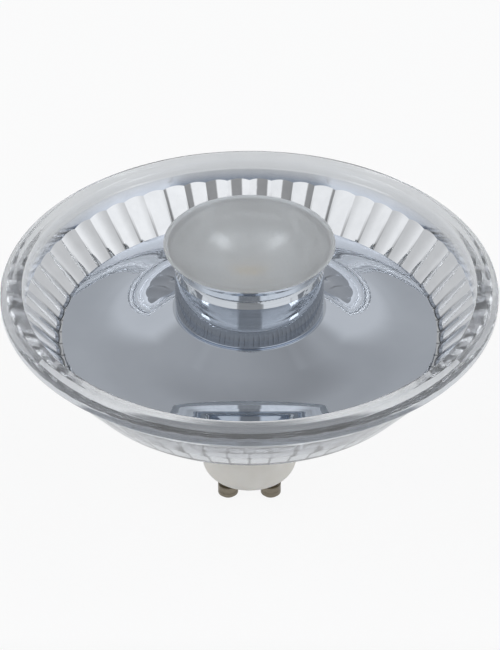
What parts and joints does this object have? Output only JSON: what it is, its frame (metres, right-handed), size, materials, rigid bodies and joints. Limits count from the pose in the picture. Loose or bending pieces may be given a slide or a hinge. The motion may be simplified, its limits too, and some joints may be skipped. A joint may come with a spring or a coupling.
{
  "type": "led spot bulb",
  "caption": "Reflector spot bulb: fluted glass dish with a mirrored plate, frosted lens on a polished cup, and a twist-lock two-pin base.",
  "frame": {"origin": "on the lamp's axis, in the plane of the two pin tips", "axes": "+Z along the lamp's axis towards the lens; X through the two pins"},
  "size_m": [0.111, 0.111, 0.0723],
  "materials": {
    "clear_glass": "clear pressed glass, aluminised inside",
    "mirror_plate": "mirror, slightly satin",
    "polished_cup": "polished",
    "frosted_lens": "frosted, translucent",
    "cone_mirror": "metallised",
    "base_white": "moulded, satin",
    "pin_metal": "nickel plated",
    "phosphor": "matt",
    "board_white": "lacquered",
    "screw_steel": "plated",
    "pad_grey": "matt",
    "sink_aluminium": "as machined",
    "nut_aluminium": "turned",
    "sealant_white": "matt",
    "cement_grey": "rough",
    "sleeve_white": "matt",
    "board_green": "lacquered",
    "transformer_yellow": "taped",
    "can_black": "sleeved",
    "film_red": "dipped",
    "fuse_blue": "dipped",
    "chip_black": "moulded",
    "mains_brown": "insulated wire",
    "lead_red": "insulated wire",
    "lead_black": "insulated wire"
  },
  "bodies": {
    "root": {"glass_reflector": "clear_glass", "reflector_plate": "mirror_plate", "lamp_cup": "polished_cup", "diffuser_lens": "frosted_lens", "inner_reflector": "cone_mirror", "base_shell": "base_white", "contact_pin_left": "pin_metal", "contact_pin_right": "pin_metal", "led_emitter": "phosphor", "led_board": "board_white", "board_screws": "screw_steel", "thermal_pad": "pad_grey", "heat_sink": "sink_aluminium", "cup_nut": "nut_aluminium", "plate_sealant": "sealant_white", "neck_cement": "cement_grey", "driver_sleeve": "sleeve_white", "driver_board": "board_green", "transformer": "transformer_yellow", "electrolytic_capacitor": "can_black", "film_capacitor": "film_red", "fuse_resistor": "fuse_blue", "bridge_rectifier": "chip_black", "driver_chip": "chip_black", "mains_lead_left": "mains_brown", "mains_lead_right": "mains_brown", "led_lead_positive": "lead_red", "led_lead_negative": "lead_black"}
  },
  "joints": []
}
